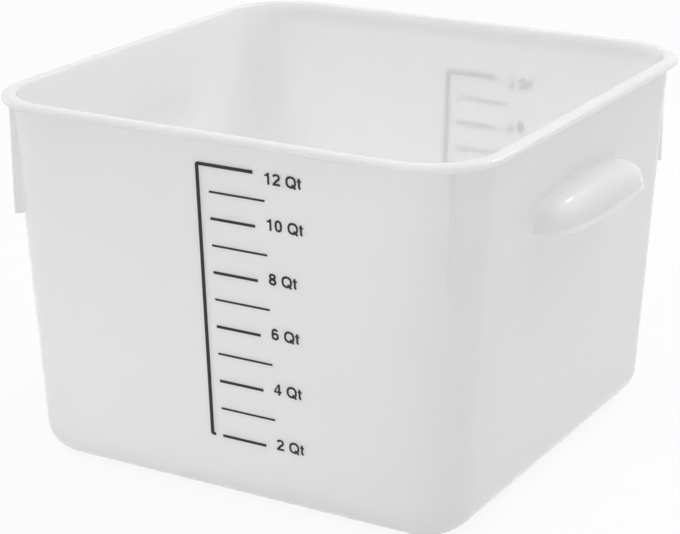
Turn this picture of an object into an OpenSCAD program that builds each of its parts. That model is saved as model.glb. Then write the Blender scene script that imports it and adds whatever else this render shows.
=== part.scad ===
// Square food tub for proofing dough, moulded in one piece from translucent white plastic.
// The handles are on +X and -X, the quart scale faces -Y, the litre scale faces +Y, and the
// foot ring stands on Z = 0 with the middle of the tub over the origin.

/* [Tub] */
// Overall height, from the foot ring to the top of the lip
tub_h = 197; // [140:1:240]
// Outer width across the lip, the same in both directions
lip_w = 283; // [230:1:340]
// Slope of the walls, in degrees from upright
draft = 3.34; // [1:0.01:5]
// Outer radius of the wall's corners, at the height of the lip
corner_r = 37; // [30:0.5:50]
// Thickness of the walls
wall = 2.5; // [1.8:0.1:3.5]

/* [Lip] */
// How far the lip stands out from the wall
lip_out = 5; // [3.5:0.25:8]
// Depth of the lip at its outer edge
lip_edge = 2.5; // [2.2:0.1:5]
// How far the lip's top falls away towards its outer edge
lip_fall = 1.1; // [0.2:0.1:2]

/* [Base] */
// Outer radius between the walls and the floor
base_r = 17; // [8:0.5:20]
// Thickness of the floor
floor_t = 2.5; // [1.8:0.1:4]
// Height of the foot ring, which is also the depth of the recess under the floor
foot_h = 2; // [1:0.1:4]
// Width of the foot ring
foot_w = 5; // [3:0.5:7]
// Diameter of the gate mark in the middle of the underside
gate_d = 9; // [6:0.5:14]

/* [Handles] */
// Length of a handle, along the wall
handle_l = 120; // [90:1:150]
// How far a handle stands out from the wall, which is also the radius of its round ends
handle_out = 21; // [17:0.5:26]
// Height of a handle, from its lower edge to its top
handle_h = 14; // [12:0.5:20]
// Distance from the top of the tub down to a handle's lower edge
handle_drop = 53; // [30:1:75]
// Thickness of a handle's hood
hood_t = 2.5; // [1.8:0.1:3]
// Radius of a handle's shoulder, where its top turns down into its face
shoulder_r = 10; // [5:0.5:10]

/* [Corner lugs] */
// Distance from the top of the tub down to the lugs' lower edge
lug_drop = 63; // [20:1:90]
// Thickness of a lug
lug_t = 2.5; // [1.5:0.1:4]
// How far a lug's outer edge stays behind the edge of the lip
lug_back = 3.6; // [3:0.1:5]

/* [Printed scales] */
// Thickness of the ink
ink_t = 0.1; // [0.05:0.01:0.2]
// Height of a label's middle over its mark
label_rise = 2.1; // [0:0.1:4]
// Drop of the top label's middle under the top line
top_label_drop = 2; // [0:0.1:4]
// Distance from an even mark's end to its label
label_gap = 6; // [3:0.5:12]
// Length of the small foot at the lower end of the upright line
foot_l = 1; // [0.6:0.1:3]
// Width of that foot's line
foot_line = 1.6; // [1:0.1:2.5]
// Least height of wall left clear between the top mark and the top of the tub
clear_top = 14; // [10:1:40]
// Length of a mark at a whole even number
major_l = 25.5; // [15:0.5:35]
// Length of a mark at an odd number
minor_l = 31.5; // [15:0.5:40]
// Width of an even mark's line
major_w = 1.5; // [0.8:0.1:2.5]
// Width of an odd mark's line
minor_w = 1.1; // [0.6:0.1:2]
// Width of the upright line that ties the marks together
upright_w = 2; // [1:0.1:3]
// Width of the line across the top of the scale
top_line_w = 1.8; // [1:0.1:3]
// Distance from the upright line to the marks, centre to end
upright_gap = 6.2; // [4:0.1:12]
// Height of the figures
figure_h = 6; // [4:0.1:8]
// Width of the strokes of figures and letters
stroke = 1.15; // [0.7:0.05:1.5]
// Place along the front wall where the quart marks start
quart_x = -1; // [-40:0.5:20]
// Place along the back wall where the litre marks start, seen from behind
litre_x = 3.4; // [-20:0.1:40]
// How far the litre scale is printed above its true level
litre_rise = 5.5; // [0:0.5:7]

/* [Hidden] */
$fn = 96;
QUART = 946353;        // one quart in cubic millimetres
LITRE = 1000000;       // one litre in cubic millimetres

// The walls: each corner is a cone about an upright axis, so the draft is the same all round.
slope = tan(draft);
wall_half = lip_w / 2 - lip_out;                    // half width of the walls at full height
axis = wall_half - corner_r;                        // distance of the corner axes from the middle
lip_r = corner_r + lip_out;
floor_top = foot_h + floor_t;
lip_low = tub_h - lip_fall - lip_edge;              // height of the lip's underside
function out_r(z) = corner_r - (tub_h - z) * slope; // the wall's outer corner radius at height z
function in_r(z) = out_r(z) - wall;

// The radii of the base, limited by the corners that they run round.
least_turn = 4;
base_fillet = min(base_r, out_r(0) - least_turn);
floor_fillet = base_fillet - wall;
foot_out = out_r(0) - base_fillet * tan(45 + draft / 2);
foot_in = max(0.5, foot_out - foot_w);
foot_slope = 0.5;                                   // how far the ring's inner side leans

// The volume held below height z: the floor and the corners of the room inside are taken off.
function span(z) = (4 * pow(axis + in_r(z), 3) - (4 - PI) * pow(in_r(z), 3)) / (3 * slope);
fillet_volume = (8 * (axis + in_r(floor_top)) - (8 - 2 * PI) * in_r(floor_top))
    * (1 - PI / 4) * pow(floor_fillet, 2);
function held(z) = span(z) - span(floor_top) - fillet_volume;
// The height at which the tub holds a volume, found by halving.
function level(volume, low = floor_top, high = tub_h, steps = 24) =
    steps == 0 ? (low + high) / 2
    : held((low + high) / 2) < volume ? level(volume, (low + high) / 2, high, steps - 1)
    : level(volume, low, (low + high) / 2, steps - 1);
// The highest even number of a unit that leaves the wall clear at the top.
function top_mark(unit, rise) = 2 * floor(held(tub_h - clear_top - rise) / unit / 2);

// A handle in plan: a straight run between two quarter turns.
handle_z = tub_h - handle_drop;
root = 1;                                            // how deep those turns are centred in the wall
sunk = root / 2;                                     // how deep the hood itself goes into the wall
grip_x = wall_half - (tub_h - handle_z) * slope;     // the wall's outer face at the handle's edge
end_r = handle_out + root;
end_y = handle_l / 2 - handle_out;
bead = 1.2;                                          // how far the hood's lower edge rolls out
bead_h = 1.9;                                        // height of that edge
bead_r = 0.6;                                        // rounding of that edge
bead_step_r = 0.5;                                   // rounding between that edge and the face
mouth = 1;                                           // how far the pocket is cut past the hood

// The lip: a flat underside, a rounded edge, and a crown that the inner wall rolls over.
neck_r = 1.5;                                        // between the wall and the lip's underside
lip_round = 1.2;                                     // at the lip's edge
crown_r = 8;
crown_out = 1.5;                                     // the crown's middle, out from the wall's face
mouth_r = 0.9 * wall;                                // where the inner wall rolls over

lug_z = tub_h - lug_drop;
gate_depth = 0.6;                                    // depth of the dimple under the floor
gate_stub = gate_d / 4;                              // diameter of the stub in it

// Unit vector from one point of an outline to another.
function way(from, to) = (to - from) / norm(to - from);
function bend(p, v, n) = acos(way(v, p) * way(v, n));                 // angle at a corner
function turns_left(p, v, n) = cross(v - p, n - v) > 0;
function touch(v, to, r, angle) = v + way(v, to) * r / tan(angle / 2); // end of the rounding

// An outline given as corners [x, y, radius], counter-clockwise, with each corner rounded.
module rounded(corners) {
    count = len(corners);
    at = [for (c = corners) [c[0], c[1]]];
    function before(i) = at[(i + count - 1) % count];
    function after(i) = at[(i + 1) % count];
    function angle(i) = bend(before(i), at[i], after(i));
    function ends(i) = [touch(at[i], before(i), corners[i][2], angle(i)),
                        touch(at[i], after(i), corners[i][2], angle(i))];
    function centre(i) = at[i] + way(at[i], (ends(i)[0] + ends(i)[1]) / 2)
        * corners[i][2] / sin(angle(i) / 2);
    module disc(i) translate(centre(i)) circle(r = corners[i][2]);
    function rounds(i, left) = corners[i][2] > 0 && turns_left(before(i), at[i], after(i)) == left;
    difference() {
        union() {
            polygon([for (i = [0:count - 1]) each corners[i][2] > 0 ? ends(i) : [at[i]]]);
            for (i = [0:count - 1]) if (rounds(i, true)) intersection() {
                polygon([ends(i)[0], at[i], ends(i)[1]]);
                disc(i);
            }
        }
        for (i = [0:count - 1]) if (rounds(i, false)) intersection() {
            polygon([ends(i)[0], at[i], ends(i)[1], centre(i)]);
            disc(i);
        }
    }
}

// Half of the tub's cross-section, measured outwards from a corner's axis.
module wall_section() rounded([
    [0, foot_h, 0],
    [foot_in, foot_h, 0],
    [foot_in + foot_slope, 0, 0],
    [out_r(0), 0, base_fillet],
    [out_r(lip_low), lip_low, neck_r],
    [lip_r, lip_low, lip_round],
    [lip_r, lip_low + lip_edge, lip_round],
    [corner_r + crown_out, tub_h, crown_r],
    [in_r(tub_h), tub_h, mouth_r],
    [in_r(floor_top), floor_top, floor_fillet],
    [0, floor_top, 0]
]);

// Sweeps a section round the tub: a quarter turn at each corner and a straight run between.
module around() for (quarter = [0:3]) rotate(90 * quarter) translate([axis, axis, 0]) {
    rotate_extrude(angle = 90) children();
    rotate([90, 0, 0]) linear_extrude(2 * axis) children();
}

module shell() {
    around() wall_section();
    translate([-axis, -axis, foot_h]) cube([2 * axis, 2 * axis, floor_t]);
}

// The space outside the +X wall, starting a little inside the wall's outer face.
module beyond_wall() translate([axis, handle_l, 0]) rotate([90, 0, 0])
    linear_extrude(2 * handle_l) polygon([
        [out_r(0) - sunk, 0], [lip_w, 0], [lip_w, tub_h], [corner_r - sunk, tub_h]
    ]);

// Half of a hood's outer cross-section, measured outwards from the axis of its end.
module hood_outside() rounded([
    [0, handle_z, 0],
    [end_r, handle_z, bead_r],
    [end_r, handle_z + bead_h, bead_r],
    [end_r - bead, handle_z + bead_h, bead_step_r],
    [end_r - bead, handle_z + handle_h, shoulder_r],
    [0, handle_z + handle_h, 0]
]);

// The same for the finger pocket under it, which is open at the bottom.
module hood_inside() rounded([
    [0, handle_z - mouth, 0],
    [end_r - bead - hood_t, handle_z - mouth, 0],
    [end_r - bead - hood_t, handle_z + handle_h - hood_t, shoulder_r - hood_t],
    [0, handle_z + handle_h - hood_t, 0]
]);

// Sweeps a handle's cross-section along its front and round its two ends.
module along_handle() {
    translate([grip_x - root, end_y, 0]) {
        rotate_extrude(angle = 90) children();
        rotate([90, 0, 0]) linear_extrude(2 * end_y) children();
    }
    translate([grip_x - root, -end_y, 0]) rotate(-90) rotate_extrude(angle = 90) children();
}

// A hood for the fingers, open underneath. The wall behind it stays whole.
module hood() intersection() {
    difference() {
        along_handle() hood_outside();
        along_handle() hood_inside();
    }
    beyond_wall();
}

// A thin upright plate on the diagonal of a corner, under the lip. It stops nested tubs jamming.
module lug() translate([axis, axis, 0]) rotate(45) rotate([90, 0, 0])
    linear_extrude(lug_t, center = true) polygon([
        [out_r(lug_z) - wall / 2, lug_z],
        [lip_r - lug_back, lug_z],
        [lip_r - lug_back, lip_low + lip_edge / 2],
        [out_r(lip_low) - wall / 2, lip_low + lip_edge / 2]
    ]);

// The round dimple in the underside, with the stub where the plastic entered the mould.
module gate_dimple() difference() {
    cylinder(d = gate_d, h = foot_h + gate_depth);
    translate([0, 0, foot_h]) cylinder(d = gate_stub, h = gate_depth + floor_t);
}

module tub() color([0.94, 0.94, 0.95, 0.85]) difference() {
    union() {
        shell();
        for (turn = [0, 180]) rotate(turn) hood();
        for (quarter = [0:3]) rotate(90 * quarter) lug();
    }
    gate_dimple();
}

// Lays a flat drawing on the outer face of a wall, as a film of ink. Its x runs along the
// wall and its y up the slope. The front wall is at no turn, and the back wall at 180.
module printed(turn) color("#151515") rotate(turn)
    translate([0, tub_h * slope - wall_half, 0]) rotate([90 + draft, 0, 0])
        linear_extrude(ink_t) children();
function up(z) = z / cos(draft);

// A scale: its unit, its rise, its starting place, and 1 or -1 for marks that run right or left.
quarts = [QUART, 0, quart_x, 1];
litres = [LITRE, litre_rise, litre_x, -1];
function mark(scale, n) = up(level(n * scale[0]) + scale[1]);
function top(scale) = top_mark(scale[0], scale[1]);
function place(scale, x) = scale[2] + scale[3] * x;

module line(scale, n, length, width) translate([place(scale, length / 2), mark(scale, n)])
    square([length, width], center = true);
module major_marks(scale) for (n = [2:2:top(scale) - 2]) line(scale, n, major_l, major_w);
module minor_marks(scale) for (n = [3:2:top(scale) - 1]) line(scale, n, minor_l, minor_w);

// The upright line with the top line and a small foot at the lowest mark.
module bracket(scale) {
    low = mark(scale, 2) - foot_line / 2;
    high = mark(scale, top(scale)) + top_line_w / 2;
    back = -upright_gap - upright_w / 2;
    outline = [
        [back, low, 1.4],
        [upright_w + back + foot_l, low, 0.5],
        [upright_w + back + foot_l, low + foot_line, 0.5],
        [upright_w + back, low + foot_line, 0.3],
        [upright_w + back, high - top_line_w, 0.6],
        [major_l, high - top_line_w, 0],
        [major_l, high, 0],
        [back, high, 1.8]
    ];
    translate([scale[2], 0]) mirror([scale[3] < 0 ? 1 : 0, 0]) rounded(outline);
}

// Figures and letters are strokes of one width on a grid whose unit is the figure's height.
weight = stroke / figure_h;
squareness = 0.86;                // 1 makes an oval of an ellipse, and less squares its shoulders
q_step = 1.096;                   // from the letter Q to the next
t_step = 0.469;
l_step = 0.86;
function oval(x, y, w, h, from = 0, to = 345, steps = 23) = [
    for (i = [0:steps]) let (a = from + (to - from) * i / steps, c = cos(a), s = sin(a))
        [x + w / 2 * sign(c) * pow(abs(c), squareness), y + h / 2 * sign(s) * pow(abs(s), squareness)]
];
// The outline of a stroke that follows a smooth path.
function side_of(path, i) =
    let (d = way(path[max(i - 1, 0)], path[min(i + 1, len(path) - 1)])) [-d[1], d[0]] * weight / 2;
function band(path) = concat(
    [for (i = [0:len(path) - 1]) path[i] - side_of(path, i)],
    [for (i = [len(path) - 1:-1:0]) path[i] + side_of(path, i)]
);
module ring(x, y, w, h) difference() {
    polygon(oval(x, y, w, h));
    polygon(oval(x, y, w - 2 * weight, h - 2 * weight));
}
module bar(x, y, w, h) translate([x, y]) square([w, h]);

fig_w = 0.69;                     // width of a figure's shape
fig_step = 0.783;                 // from one figure to the next
fig_x = fig_step / 2;             // middle of a figure

module figure(n) {
    if (n == 0) ring(fig_x, 0.5, fig_w, 1.02);
    if (n == 1) polygon([
        [0.53 - weight, 0], [0.53, 0], [0.53, 1], [0.36, 1],
        [0.27, 0.86], [0.1, 0.82], [0.1, 0.69], [0.53 - weight, 0.69]
    ]);
    if (n == 2) {
        polygon(band(concat(
            oval(fig_x, 0.7, fig_w - weight, 0.6 - weight, 172, -34, 16),
            [[0.3, 0.3], [0.14, 0.1]]
        )));
        bar(0.045, 0, fig_w, weight * 0.95);
    }
    if (n == 4) difference() {
        polygon([
            [0.42, 0], [0.42 + weight, 0], [0.42 + weight, 0.2], [0.74, 0.2], [0.74, 0.36],
            [0.42 + weight, 0.36], [0.42 + weight, 1], [0.44, 1], [0.03, 0.36], [0.03, 0.2],
            [0.42, 0.2]
        ]);
        polygon([[0.42, 0.36], [0.42, 0.75], [0.17, 0.36]]);
    }
    if (n == 6) {
        ring(fig_x, 0.32, fig_w, 0.66);
        polygon(band(oval(fig_x, 0.5, fig_w - weight, 1.02 - weight, 195, 38, 16)));
    }
    if (n == 8) {
        ring(fig_x, 0.29, fig_w, 0.6);
        ring(fig_x, 0.735, fig_w * 0.92, 0.55);
    }
}
module letter_q() {
    ring(0.55, 0.5, 0.98, 1.03);
    polygon(band([[0.62, 0.3], [0.97, -0.03]]));
}
module letter_t() {
    polygon(band(concat([[0.2, 0.92], [0.2, 0.5]], oval(0.36, 0.24, 0.32, 0.32, 180, 262, 8))));
    bar(0.02, 0.6, 0.38, weight * 0.75);
}
module letter_l() {
    bar(0.1, 0, weight, 1);
    bar(0.1, 0, 0.66, weight * 0.95);
}

// A label stands beside an even mark, a little above it, and the top one below the top line.
space = 0.39;                     // gap before the unit
function figures_wide(n) = (n >= 10 ? 2 : 1) * fig_step;
function label_x(scale, n, unit_wide) = scale[3] > 0 ? place(scale, major_l + label_gap)
    : place(scale, major_l + label_gap) - (figures_wide(n) + space + unit_wide) * figure_h;
function label_y(scale, n) = mark(scale, n) - figure_h / 2
    + (n == top(scale) ? -top_label_drop : label_rise);
module label(scale, n, unit_wide, from = 0)
    translate([label_x(scale, n, unit_wide) + from * figure_h, label_y(scale, n)])
        scale(figure_h) children();

module figures(scale, unit_wide) for (n = [2:2:top(scale)]) label(scale, n, unit_wide) {
    if (n >= 10) {
        figure(floor(n / 10));
        translate([fig_step, 0]) figure(n % 10);
    } else figure(n);
}

module quart_bracket() printed(0) bracket(quarts);
module quart_major_marks() printed(0) major_marks(quarts);
module quart_minor_marks() printed(0) minor_marks(quarts);
module quart_figures() printed(0) figures(quarts, q_step + t_step);
module quart_unit_letters() printed(0) for (n = [2:2:top(quarts)])
    label(quarts, n, q_step + t_step, figures_wide(n) + space) {
        letter_q();
        translate([q_step, 0]) letter_t();
    }
module litre_bracket() printed(180) bracket(litres);
module litre_major_marks() printed(180) major_marks(litres);
module litre_minor_marks() printed(180) minor_marks(litres);
module litre_figures() printed(180) figures(litres, l_step);
module litre_unit_letters() printed(180) for (n = [2:2:top(litres)])
    label(litres, n, l_step, figures_wide(n) + space) letter_l();

tub();
quart_bracket();
quart_major_marks();
quart_minor_marks();
quart_figures();
quart_unit_letters();
litre_bracket();
litre_major_marks();
litre_minor_marks();
litre_figures();
litre_unit_letters();
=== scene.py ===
# %% [markdown]
# # A square tub for proofing dough
# The real thing is one injection moulding in milky, clear-white plastic, with a quart scale
# printed on its front wall and a litre scale on its back wall. Its looks come from three
# things: walls so thin that light soaks through them, soft mould radii on every edge, and
# black ink that lies on the outside and shows as a grey blur from the inside.
#
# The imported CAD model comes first. It is the frame that every size below is read from.

# %% Load the frame
import math

import bmesh
import bpy
from mathutils import Matrix, Vector


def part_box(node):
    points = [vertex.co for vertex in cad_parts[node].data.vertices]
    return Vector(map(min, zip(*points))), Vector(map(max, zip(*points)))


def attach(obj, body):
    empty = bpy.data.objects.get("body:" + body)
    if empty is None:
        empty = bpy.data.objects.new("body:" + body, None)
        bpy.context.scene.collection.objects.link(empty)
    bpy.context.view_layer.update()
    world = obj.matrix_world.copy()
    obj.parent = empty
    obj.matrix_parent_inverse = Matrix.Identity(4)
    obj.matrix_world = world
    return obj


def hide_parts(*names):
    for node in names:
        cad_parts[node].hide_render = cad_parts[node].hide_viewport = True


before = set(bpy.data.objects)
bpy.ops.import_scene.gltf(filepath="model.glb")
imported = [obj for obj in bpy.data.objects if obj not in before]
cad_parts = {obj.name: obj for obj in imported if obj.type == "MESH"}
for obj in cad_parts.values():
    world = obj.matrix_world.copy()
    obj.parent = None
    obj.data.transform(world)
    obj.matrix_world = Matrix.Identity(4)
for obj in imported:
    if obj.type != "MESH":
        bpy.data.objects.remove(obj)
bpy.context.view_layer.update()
tub_low, tub_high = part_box("tub")
MM = 0.001

# %% [markdown]
# ## The camera
# A camera is a place, a direction and a lens. The photograph was taken from in front, from
# the right and from above with a long lens, so the walls nearly keep their widths as they
# run away. The place and the turns were worked out from the rim, the walls and the marks.

# %% The photograph's camera
IMAGE_WIDTH = 680                      # the photograph's width in pixels
SENSOR = 36.0
FOCAL_PIXELS = 2164.17                 # the lens, in pixels of the photograph
camera_place = Vector((550.978, -963.512, 474.330)) * MM
turned, tipped, rolled = 0.52438, -0.33518, -0.00375


def make_camera():
    lens = bpy.data.cameras.new("camera")
    lens.sensor_fit = "HORIZONTAL"
    lens.sensor_width = SENSOR
    lens.lens = FOCAL_PIXELS * SENSOR / IMAGE_WIDTH
    holder = bpy.data.objects.new("camera", lens)
    bpy.context.scene.collection.objects.link(holder)
    aim = Matrix.Rotation(turned, 4, "Z") @ Matrix.Rotation(math.pi / 2 + tipped, 4, "X")
    holder.matrix_world = Matrix.Translation(camera_place) @ aim @ Matrix.Rotation(rolled, 4, "Z")
    bpy.context.scene.camera = holder
    print("lens in mm:", round(lens.lens, 2))


make_camera()

# %% [markdown]
# ## The sizes
# A moulder draws the tub as one cross-section that runs round a square with round corners.
# The walls lean out by a few degrees so that the tub leaves its mould, and so that tubs
# nest. Each corner is a cone: its radius grows with height, about an axis that stays
# upright. So one number, the place of that axis, lays out all four corners.

# %% Sizes of the tub
height = tub_high.z
lip_half = tub_high.y
draft = math.tan(math.radians(3.34))
corner_r = 37 * MM                     # outer radius of a wall's corner, at the top
wall = 2.5 * MM
lip_out = 5 * MM
lip_edge = 2.5 * MM
lip_fall = 1.1 * MM
base_r = 17 * MM
foot_h = 2 * MM
foot_w = 5 * MM
floor_top = foot_h + wall
axis = lip_half - lip_out - corner_r
lip_low = height - lip_fall - lip_edge


def out_r(z):
    """The wall's outer radius about a corner's axis, at height z."""
    return corner_r - (height - z) * draft


def wall_x(z):
    """How far the outer face of a wall stands from the middle of the tub."""
    return axis + out_r(z)


print("wall at the top and at the foot, in mm:", round(wall_x(height) / MM, 1), round(wall_x(0) / MM, 1))

# %% [markdown]
# ## The hood's shape
# Each handle is a hood for the fingers, and its outside is like a quarter of an egg that
# lies along the wall: it is highest and stands out furthest in its middle, and runs down to
# the wall towards its ends. It ends below in a small bead, and blends into the wall in soft
# concave radii. A boolean of two solids would leave a hard crease there. Instead one formula
# says how far a point is from the egg, and a round blend joins that to the wall. The height
# of the blended surface over the wall is then found by halving, one place at a time.

# %% Sizes of the hood
hood_low = height - 53 * MM            # the hood's lower edge
hood_h = 17 * MM
hood_half = 55 * MM                    # half of the hood's length
hood_reach = tub_high.x - wall_x(hood_low)
hood_wall = 2.5 * MM
fullness = 3.3                         # 2 is an egg, and more gives blunter ends
square = 2.5                           # 2 is a round section, and more gives a squarer one
bead = 1.2 * MM
bead_h = 1.9 * MM
edge_r = 0.6 * MM
blend_r = 1.8 * MM                     # radius between the hood and the wall


def smooth_step(x, low, high):
    t = min(1, max(0, (x - low) / (high - low)))
    return t * t * (3 - 2 * t)


def face_reach(t):
    """How far the hood would stand off the wall at height t over its lower edge, if its top weren't round."""
    rounding = edge_r - math.sqrt(max(0, edge_r ** 2 - max(0, edge_r - t) ** 2))
    return hood_reach - rounding - bead * smooth_step(t, bead_h - 0.5 * MM, bead_h + 0.6 * MM)


def hood_distance(off, y, t):
    """The signed distance from the egg, of a point that is off away from the wall."""
    reach = face_reach(t)
    u, v = max(0, off + t * draft) / reach, max(0, t) / hood_h
    across = max(1e-9, (u ** square + v ** square) ** (1 / square))
    along = abs(y) / hood_half
    times = (across ** fullness + along ** fullness) ** (1 / fullness)
    across_slope = math.hypot(u ** (square - 1) / reach, v ** (square - 1) / hood_h) / across ** (square - 1)
    across_slope *= (across / times) ** (fullness - 1)
    along_slope = (along / times) ** (fullness - 1) / hood_half
    return (times - 1) / math.hypot(across_slope, along_slope)


def hood_height(y, t):
    """How far the blended surface stands off the wall, found by halving."""
    low, high = 0.0, 30 * MM
    if hood_distance(0, y, t) >= blend_r:
        return 0.0
    for _ in range(28):
        off = (low + high) / 2
        near = hood_distance(off, y, t)
        outside = max(blend_r, min(off, near)) - math.hypot(max(blend_r - off, 0), max(blend_r - near, 0))
        low, high = (low, off) if outside > 0 else (off, high)
    return (low + high) / 2


print("hood at its middle and at 50 mm, in mm:",
      [round(hood_height(y * MM, 1 * MM) / MM, 1) for y in (0, 50)])

# %% [markdown]
# The wall gets a grid of mesh lines where the hood will be. Its columns lie at even steps
# along the curve of the hood's lower edge, so they close up where that edge turns into the
# wall. Its rows are laid out later, at even steps up each column's own curve.

# %% Mesh lines of the hood
def even_places(curve, count):
    """Divides a curve, given as many points, into steps of equal length."""
    lengths = [0.0]
    for here, there in zip(curve, curve[1:]):
        lengths.append(lengths[-1] + math.dist(here, there))
    places, i = [], 0
    for n in range(count + 1):
        wanted = lengths[-1] * n / count
        while i < len(curve) - 2 and lengths[i + 1] < wanted:
            i += 1
        part = (wanted - lengths[i]) / (lengths[i + 1] - lengths[i])
        places.append([a + (b - a) * part for a, b in zip(curve[i], curve[i + 1])])
    return places


hood_edge = hood_half + 1.2 * blend_r
hood_top = hood_h + 1.2 * blend_r
plan = [(hood_edge * i / 700, hood_height(hood_edge * i / 700, bead_h / 2)) for i in range(701)]
half_columns = [y for y, off in even_places(plan, 56)]
pocket_end = 43 * MM
nearest = min(half_columns, key=lambda y: abs(y - pocket_end))
half_columns[half_columns.index(nearest)] = pocket_end
hood_columns = [-y for y in reversed(half_columns[1:])] + half_columns
bead_rows = [t * MM for t in (0, 0.06, 0.18, 0.36, 0.6, 1.0, 1.4, 1.6, 1.8, 2.0, 2.2, 2.5, 3.2)]
ROWS_ABOVE = 30
row_step = (hood_top - bead_rows[-1]) / ROWS_ABOVE
hood_rows = [hood_low + t for t in bead_rows + [bead_rows[-1] + row_step * (i + 1) for i in range(ROWS_ABOVE)]]
print("rows and columns of a hood:", len(hood_rows), len(hood_columns))

# %% [markdown]
# ## The cross-section
# The section is a chain of a few vertices, one for each corner of the drawing. A bevel of a
# single vertex turns that corner into an arc. The bevel's offset is the distance from the
# corner to where the arc starts, which is the radius over the tangent of half the angle.

# %% Draw the section and round its corners
base_turn = base_r * math.tan(math.pi / 4 + math.atan(draft) / 2)
foot_out = out_r(0) - base_turn
section = [                            # distance from a corner's axis, height, radius, steps
    (0, foot_h, 0, 0),
    (foot_out - foot_w, foot_h, 0.3 * MM, 2),
    (foot_out - foot_w + 0.5 * MM, 0, 0.3 * MM, 2),
    (out_r(0), 0, base_r, 14),
    *[(out_r(z), z, 0, 0) for z in hood_rows],
    (out_r(lip_low), lip_low, 1.5 * MM, 5),
    (corner_r + lip_out, lip_low, 1.2 * MM, 5),
    (corner_r + lip_out, lip_low + lip_edge, 1.2 * MM, 5),
    (corner_r + 2.5 * MM, height, 5 * MM, 5),
    (corner_r - wall, height, 1.2 * MM, 5),
    (out_r(floor_top) - wall, floor_top, base_r - wall, 14),
    (0, floor_top, 0, 0),
]


def draw_section(bm):
    """Makes the section as a chain of edges, at the corner on +X and +Y."""
    chain = [bm.verts.new((axis + r, axis, z)) for r, z, radius, steps in section]
    for near, far in zip(chain, chain[1:]):
        bm.edges.new((near, far))
    angles = {}
    for i, (r, z, radius, steps) in enumerate(section):
        if radius:
            to_last, to_next = chain[i - 1].co - chain[i].co, chain[i + 1].co - chain[i].co
            angles[i] = to_last.angle(to_next)
    for i, angle in angles.items():
        bmesh.ops.bevel(bm, geom=[chain[i]], offset=section[i][2] / math.tan(angle / 2),
                        offset_type="OFFSET", affect="VERTICES", segments=section[i][3],
                        profile=0.5, material=-1, clamp_overlap=False)
    return list(bm.edges)


tub_mesh = bmesh.new()
section_edges = draw_section(tub_mesh)
print("edges in the section:", len(section_edges))

# %% [markdown]
# ## Run it round
# Spin turns the section about a corner's axis, and an extrude carries it straight along a
# wall to the next corner. The side walls stop at every column of the hood, because their
# mesh is moved there later, and the front and back walls are flat and need no stops.

# %% Sweep the section round the tub
CORNER_STEPS = 28


def chosen(geometry, kind):
    return [item for item in geometry if isinstance(item, kind)]


def turn_corner(bm, edges, corner):
    verts = list({v for e in edges for v in e.verts})
    spun = bmesh.ops.spin(bm, geom=verts + edges, cent=corner, axis=(0, 0, 1),
                          angle=math.pi / 2, steps=CORNER_STEPS)
    return chosen(spun["geom_last"], bmesh.types.BMEdge)


def run_straight(bm, edges, direction, stops):
    for here, there in zip(stops, stops[1:]):
        made = bmesh.ops.extrude_edge_only(bm, edges=edges)["geom"]
        fresh = set(chosen(made, bmesh.types.BMVert))
        bmesh.ops.translate(bm, verts=list(fresh), vec=direction * (there - here))
        edges = [e for e in chosen(made, bmesh.types.BMEdge) if all(v in fresh for v in e.verts)]
    return edges


def sweep(bm, edges):
    plain = [-axis, axis]
    handled = [-axis, *hood_columns, axis]
    corner, direction = Vector((axis, axis, 0)), Vector((-1, 0, 0))
    quarter = Matrix.Rotation(math.pi / 2, 3, "Z")
    for stops in (plain, handled, plain, handled):
        edges = turn_corner(bm, edges, corner)
        edges = run_straight(bm, edges, direction, stops)
        corner, direction = quarter @ corner, quarter @ direction
    bmesh.ops.remove_doubles(bm, verts=bm.verts, dist=0.002 * MM)
    rim = [e for e in bm.edges if e.is_boundary]
    bmesh.ops.holes_fill(bm, edges=rim, sides=0)
    bmesh.ops.recalc_face_normals(bm, faces=bm.faces)


def open_edges(bm):
    return sum(not e.is_manifold for e in bm.edges)


sweep(tub_mesh, section_edges)
print("faces of the plain tub:", len(tub_mesh.faces), "open edges:", open_edges(tub_mesh))

# %% [markdown]
# ## Raise the hoods
# The faces of the wall that lie in a hood's grid are extruded as one region, and each new
# vertex is moved out by the hood's height there. Where the hood turns up into the wall, one
# millimetre up the wall is several along the hood, so the rows above the bead slide up or
# down to lie evenly on it. At the top and the ends of the grid the hood's height is nothing:
# the new vertices fall back on the old ones there and are merged. Only the lower edge stays
# apart, and leaves a level shelf: the hood's underside.

# %% Extrude a hood out of the wall
def off_wall(v, side):
    return side * v.co.x - wall_x(v.co.z)


def extrude_region(bm, faces):
    """Extrudes faces as one region, and removes the faces that they leave behind."""
    made = bmesh.ops.extrude_face_region(bm, geom=faces)["geom"]
    bmesh.ops.delete(bm, geom=faces, context="FACES")
    return chosen(made, bmesh.types.BMVert), chosen(made, bmesh.types.BMFace)


def column_curve(y):
    """A column's places on the hood, from the bead to the top of the grid: height, and distance off the wall."""
    fine = 300
    heights = [bead_rows[-1] + (hood_top - bead_rows[-1]) * i / fine for i in range(fine + 1)]
    return even_places([(t, hood_height(y, t)) for t in heights], ROWS_ABOVE)


curves = [column_curve(y) for y in half_columns]


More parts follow.
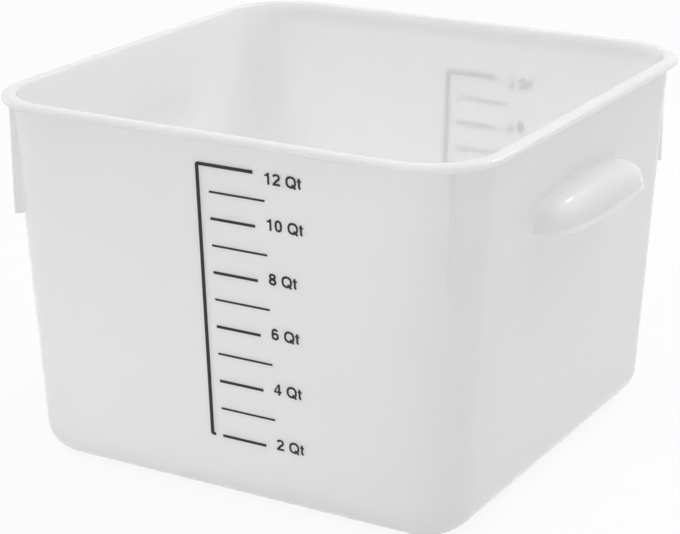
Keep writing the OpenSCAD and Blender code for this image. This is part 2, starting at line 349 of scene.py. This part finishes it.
def raise_hood(bm, side):
    def in_grid(v):
        return (abs(off_wall(v, side)) < 0.005 * MM and abs(v.co.y) < hood_columns[-1] + 0.01 * MM
                and hood_rows[0] - 0.01 * MM < v.co.z < hood_rows[-1] + 0.01 * MM)
    region = [f for f in bm.faces if all(in_grid(v) for v in f.verts)]
    count = len(region)
    for v in extrude_region(bm, region)[0]:
        y, t = v.co.y, v.co.z - hood_low
        off = hood_height(y, t)
        if t > bead_rows[-1]:
            column = min(range(len(curves)), key=lambda i: abs(half_columns[i] - abs(y)))
            t, off = curves[column][round((t - bead_rows[-1]) / row_step)]
        v.co.z = hood_low + t
        v.co.x = side * (wall_x(v.co.z) + off)
    bmesh.ops.remove_doubles(bm, verts=bm.verts, dist=0.002 * MM)
    return count


for side in (1, -1):
    print("faces raised:", raise_hood(tub_mesh, side), "open edges:", open_edges(tub_mesh))

# %% [markdown]
# ## Hollow them from below
# The shelf is cut into the hood's own thickness and the mouth of the finger pocket. Then
# the mouth is extruded upwards in steps, and each step is narrower, so that the pocket is a
# smaller egg inside the hood's. Its back is the wall, which stays whole.

# %% Sizes of the pocket
pocket_h = hood_h - hood_wall
pocket_reach = hood_reach - bead - hood_wall
pocket_steps = [0.15 * MM, 0.4 * MM] + [pocket_h * math.sin(math.radians(a)) for a in range(6, 79, 6)]


def pocket_depth(y, t):
    """How far the pocket's front wall stands off the tub's wall."""
    flare = 0.4 * MM * (1 - smooth_step(t, 0, 0.4 * MM))
    past_end = max(0, 1 - (abs(y) / pocket_end) ** fullness) ** (1 / fullness)
    room = max(0, past_end ** square - (t / pocket_h) ** square) ** (1 / square)
    return max(0, (pocket_reach + flare) * room - t * draft)


def hollow_hood(bm, side):
    level = hood_rows[0]
    shelf = [f for f in bm.faces if all(abs(v.co.z - level) < 0.001 * MM for v in f.verts)
             and side * f.calc_center_median().x > wall_x(level)]
    across = [e for e in {e for f in shelf for e in f.edges}
              if abs(e.verts[0].co.y - e.verts[1].co.y) < 0.001 * MM
              and abs(e.verts[0].co.y) < pocket_end - 0.01 * MM]
    cut = bmesh.ops.subdivide_edges(bm, edges=across, cuts=1)
    for v in chosen(cut["geom_inner"], bmesh.types.BMVert):
        v.co.x = side * (wall_x(level) + pocket_depth(v.co.y, 0))
    mouth = []
    for f in bm.faces:
        if all(abs(v.co.z - level) < 0.001 * MM for v in f.verts):
            mouth += [f] if all(-0.01 * MM < off_wall(v, side) < pocket_depth(v.co.y, 0) + 0.01 * MM
                                for v in f.verts) else []
    for step in pocket_steps:
        mouth = [f for f in mouth if any(pocket_depth(v.co.y, step) > 0 for v in f.verts)]
        raised, mouth = extrude_region(bm, mouth)
        for v in raised:
            depth = pocket_depth(v.co.y, step) if off_wall(v, side) > 0.01 * MM else 0
            v.co.z = level + step
            v.co.x = side * (wall_x(v.co.z) + depth)
    bmesh.ops.remove_doubles(bm, verts=bm.verts, dist=0.002 * MM)
    return len(mouth)


for side in (1, -1):
    print("faces in the pocket's ceiling:", hollow_hood(tub_mesh, side), "open edges:", open_edges(tub_mesh))

# %% [markdown]
# ## Lugs and gate mark
# Under the lip, a thin plate stands on each corner's diagonal. It keeps nested tubs from
# jamming. Plates that run into a cone and into the underside of the lip have no mesh lines
# in common with them, so here an exact boolean is the right tool. A second one cuts the
# round dimple in the underside, where the plastic entered the mould.

# %% Turn a bmesh into an object
def make_object(name, bm):
    mesh = bpy.data.meshes.new(name)
    bm.to_mesh(mesh)
    bm.free()
    piece = bpy.data.objects.new(name, mesh)
    bpy.context.scene.collection.objects.link(piece)
    return piece


def combine(piece, tool, operation):
    """Joins or cuts a piece with a tool, and removes the tool."""
    change = piece.modifiers.new("combine", "BOOLEAN")
    change.operation = operation
    change.solver = "EXACT"
    change.object = tool
    ready = piece.evaluated_get(bpy.context.evaluated_depsgraph_get())
    result = bpy.data.meshes.new_from_object(ready)
    piece.modifiers.clear()
    piece.data = result
    bpy.data.objects.remove(tool)


tub = make_object("tub_body", tub_mesh)
print("tub before the lugs:", len(tub.data.polygons), "faces")

# %% Make the lugs
lug_low = height - 63 * MM
lug_t = 2.5 * MM
lug_edge = corner_r + lip_out - 3.6 * MM


def add_lugs(bm):
    """Makes a plate at each corner: a cube whose inner face leans with the wall."""
    for quarter in range(4):
        plate = bmesh.ops.create_cube(bm, size=1)["verts"]
        for v in plate:
            top = v.co.z > 0
            z = lip_low + lip_edge / 2 if top else lug_low
            r = lug_edge if v.co.x > 0 else out_r(z) - wall / 2
            v.co = Vector((r, v.co.y * lug_t, z))
        place = (Matrix.Rotation(math.pi / 2 * quarter, 4, "Z") @ Matrix.Translation((axis, axis, 0))
                 @ Matrix.Rotation(math.pi / 4, 4, "Z"))
        bmesh.ops.transform(bm, matrix=place, verts=plate)
    low_edges = [e for e in bm.edges if min(v.co.z for v in e.verts) < lug_low + 0.01 * MM]
    bmesh.ops.bevel(bm, geom=low_edges, offset=0.5 * MM, offset_type="OFFSET", affect="EDGES",
                    segments=3, profile=0.5, material=-1)
    bmesh.ops.recalc_face_normals(bm, faces=bm.faces)


lug_mesh = bmesh.new()
add_lugs(lug_mesh)
combine(tub, make_object("lugs", lug_mesh), "UNION")
print("tub with its lugs:", len(tub.data.polygons), "faces")

# %% Cut the gate mark
gate_r = 4.5 * MM
gate_depth = 0.6 * MM


def add_disc(bm, radius, low, high, steps=48):
    disc = bmesh.ops.create_cone(bm, cap_ends=True, segments=steps, radius1=radius, radius2=radius,
                                 depth=high - low)["verts"]
    bmesh.ops.translate(bm, verts=disc, vec=(0, 0, (low + high) / 2))


gate_mesh = bmesh.new()
add_disc(gate_mesh, gate_r, 0, foot_h + gate_depth)
combine(tub, make_object("gate_dimple", gate_mesh), "DIFFERENCE")
stub_mesh = bmesh.new()
add_disc(stub_mesh, gate_r / 4, foot_h + gate_depth / 4, floor_top - wall / 4, 24)
combine(tub, make_object("gate_stub", stub_mesh), "UNION")

# %% Shade it smooth, and keep its hard edges
tub.data.shade_smooth()
tub.data.set_sharp_from_angle(angle=math.radians(38))
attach(tub, "root")
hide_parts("tub")
print("finished tub:", len(tub.data.polygons), "faces")

# %% [markdown]
# ## Shader maths in Python
# A finish is a graph of nodes. Writing it as arithmetic keeps it readable: the class below
# wraps a socket, and each operator adds the Math node that does it.

# %% A socket that knows arithmetic
class Wire:
    def __init__(self, tree, socket):
        self.tree, self.socket = tree, socket

    def maths(self, operation, first, second):
        return node(self.tree, "ShaderNodeMath", {"operation": operation}, {0: first, 1: second})[0]

    def __add__(self, other):
        return self.maths("ADD", self, other)

    def __sub__(self, other):
        return self.maths("SUBTRACT", self, other)

    def __rsub__(self, other):
        return self.maths("SUBTRACT", other, self)

    def __mul__(self, other):
        return self.maths("MULTIPLY", self, other)

    __radd__, __rmul__ = __add__, __mul__


def node(tree, kind, settings=None, inputs=None):
    """Adds a node, sets it up, feeds its inputs with values or wires, and returns its outputs."""
    made = tree.nodes.new(kind)
    for name, value in (settings or {}).items():
        setattr(made, name, value)
    for name, value in (inputs or {}).items():
        if isinstance(value, Wire):
            tree.links.new(value.socket, made.inputs[name])
        else:
            made.inputs[name].default_value = value
    return [Wire(tree, socket) for socket in made.outputs]


def new_finish(name):
    """A material with an empty graph, and that graph."""
    finish = bpy.data.materials.new(name)
    finish.use_nodes = True
    finish.node_tree.nodes.clear()
    return finish, finish.node_tree


def noise(tree, scale, detail=3.0, roughness=0.5):
    """Noise over the object's own coordinates. Scale is in lumps per metre."""
    place = node(tree, "ShaderNodeTexCoord")[3]
    return node(tree, "ShaderNodeTexNoise", {}, {
        "Vector": place, "Scale": scale, "Detail": detail, "Roughness": roughness})[0]


def two_tone(tree, mask, dark, light):
    """A colour between two, by a mask."""
    outputs = node(tree, "ShaderNodeMix", {"data_type": "RGBA"}, {0: mask, 6: (*dark, 1), 7: (*light, 1)})
    return outputs[2]


# %% [markdown]
# ## Milky plastic
# The plastic is bright because light enters it, scatters, and leaves through the other side
# of the wall or some millimetres away. Subsurface scattering by random walk does that, as
# long as the piece is one closed solid. Light goes 13 mm between two collisions, which is
# several times the thickness of a wall, and mostly keeps its direction. So a wall glows
# with the light behind it, and the ink on its far side shows through as a soft grey print.
# The base colour is painted lighter low down and darker at the lip: painted light, standing
# in for the light that the bright floor throws up the walls, with faint random clouds between.
# A fine waviness keeps its reflections from looking like glass: a real mould is only nearly
# flat, and the plastic shrinks unevenly.

# %% The plastic of the tub
def plastic_finish():
    finish, tree = new_finish("clear_white_plastic")
    up = node(tree, "ShaderNodeSeparateXYZ", {}, {"Vector": node(tree, "ShaderNodeTexCoord")[3]})[2]
    # Painted light: the colour is lighter low down and darker at the lip, as if lit from the floor; the noise
    # adds random clouds of tone.
    painted_floor_light_and_clouds = up * (1 / height) + (noise(tree, 14, 2) - 0.5) * 0.3
    grain = noise(tree, 900, 2)
    wave = noise(tree, 22, 1)
    colour = two_tone(tree, painted_floor_light_and_clouds, (0.985, 0.985, 0.985), (0.905, 0.906, 0.908))
    dull = 0.08 + noise(tree, 60, 4) * 0.08
    ripple = node(tree, "ShaderNodeBump", {}, {"Strength": 0.25, "Distance": 0.6 * MM, "Height": wave})[0]
    skin = node(tree, "ShaderNodeBump", {}, {
        "Strength": 0.12, "Distance": 0.04 * MM, "Height": grain, "Normal": ripple})[0]
    shader = node(tree, "ShaderNodeBsdfPrincipled", {"subsurface_method": "RANDOM_WALK"}, {
        "Base Color": colour, "Roughness": dull, "Normal": skin, "IOR": 1.5,
        "Specular IOR Level": 0.1, "Subsurface Weight": 1.0, "Subsurface Radius": (1.0, 1.0, 1.0),
        "Subsurface Scale": 13 * MM, "Subsurface Anisotropy": 0.5})[0]
    node(tree, "ShaderNodeOutputMaterial", {}, {"Surface": shader})
    return finish


tub.data.materials.clear()
tub.data.materials.append(plastic_finish())
print("plastic nodes:", len(tub.data.materials[0].node_tree.nodes))

# %% [markdown]
# ## Ink
# The scales are screen-printed: a dense black film with a slight sheen, a little uneven
# where the mesh of the screen left more or less of it. The CAD nodes already are that film,
# so they stay, and only get their finish here.

# %% The ink of the scales
def ink_finish():
    finish, tree = new_finish("black_ink")
    patches = noise(tree, 700, 4, 0.6)
    colour = two_tone(tree, patches, (0.006, 0.006, 0.007), (0.02, 0.02, 0.022))
    sheen = 0.36 + patches * 0.2
    bumps = node(tree, "ShaderNodeBump", {}, {
        "Strength": 0.2, "Distance": 0.03 * MM, "Height": noise(tree, 2500, 2)})[0]
    shader = node(tree, "ShaderNodeBsdfPrincipled", {}, {
        "Base Color": colour, "Roughness": sheen, "Normal": bumps, "IOR": 1.48})[0]
    node(tree, "ShaderNodeOutputMaterial", {}, {"Surface": shader})
    return finish


ink = ink_finish()
printed = [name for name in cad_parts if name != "tub"]
for name in printed:
    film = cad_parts[name]
    film.data.materials.clear()
    film.data.materials.append(ink)
print("printed nodes:", len(printed))

# %% [markdown]
# ## The studio
# The photograph is lit like a light tent: soft panels stand on all sides and above, and
# about a third of the light comes evenly from everywhere. A small lamp high behind the tub
# draws the two glints, on the lip's corner and on the hood's end. The world gives the even
# light, and shows plain white to the rays that look straight at it. Inside a white tub light
# goes from wall to wall many times, so twice the usual bounces are followed.

# %% The white world
def seen_directly(tree):
    """1 for rays that show the background itself, and 0 for rays that carry its light."""
    path = node(tree, "ShaderNodeLightPath")
    camera_ray, glossy_ray, through_ray = path[0], path[3], path[6]
    either = node(tree, "ShaderNodeMath", {"operation": "MAXIMUM"}, {0: camera_ray, 1: glossy_ray})[0]
    return node(tree, "ShaderNodeMath", {"operation": "MAXIMUM"}, {0: either, 1: through_ray})[0]


WORLD_LIGHT = 0.29


def make_world():
    world = bpy.data.worlds.new("light_tent")
    bpy.context.scene.world = world
    world.use_nodes = True
    tree = world.node_tree
    tree.nodes.clear()
    strength = seen_directly(tree) * (1 - WORLD_LIGHT) + WORLD_LIGHT
    sky = node(tree, "ShaderNodeBackground", {}, {"Color": (1, 1, 1, 1), "Strength": strength})[0]
    node(tree, "ShaderNodeOutputWorld", {}, {"Surface": sky})


make_world()
bpy.context.scene.cycles.diffuse_bounces = 8

# %% [markdown]
# A lamp's place is easiest to think of as a compass bearing and a height in degrees. The
# bearing runs from the front wall, at 0, through the right wall, at 90, to the back.

# %% The lamps
def soft_lamp(name, bearing, rise, size, power, distance=2.0):
    """A square lamp that faces the tub."""
    turn, lift = math.radians(bearing), math.radians(rise)
    aim = Vector((math.cos(lift) * math.sin(turn), -math.cos(lift) * math.cos(turn), math.sin(lift)))
    lamp = bpy.data.lights.new(name, "AREA")
    lamp.size = size
    lamp.energy = power
    holder = bpy.data.objects.new(name, lamp)
    bpy.context.scene.collection.objects.link(holder)
    holder.location = aim * distance + Vector((0, 0, height / 2))
    holder.rotation_euler = aim.to_track_quat("Z", "Y").to_euler()


soft_lamp("front_panel", 0, 45, 1.5, 8.4)
soft_lamp("right_panel", 125, 45, 1.5, 7.5)
soft_lamp("back_panel", 166, 46, 1.1, 6.3)
soft_lamp("left_panel", 265, 15, 1.2, 7.3)
soft_lamp("top_panel", 0, 85, 1.5, 7.6)
soft_lamp("glint_lamp", 167, 47, 0.15, 2.5, distance=1.7)

# %% The floor
FLOOR_WHITE = 0.88


def make_floor():
    bm = bmesh.new()
    bmesh.ops.create_grid(bm, x_segments=1, y_segments=1, size=6)
    floor = make_object("studio_floor", bm)
    finish, tree = new_finish("floor_white")
    paint = node(tree, "ShaderNodeBsdfPrincipled", {}, {
        "Base Color": (0.93, 0.93, 0.93, 1), "Roughness": 0.7})[0]
    glow = node(tree, "ShaderNodeEmission", {}, {"Color": (1, 1, 1, 1), "Strength": 1.0})[0]
    blend = node(tree, "ShaderNodeMixShader", {}, {0: seen_directly(tree) * FLOOR_WHITE, 1: paint, 2: glow})[0]
    node(tree, "ShaderNodeOutputMaterial", {}, {"Surface": blend})
    floor.data.materials.append(finish)


make_floor()
bpy.context.scene.view_settings.view_transform = "Standard"
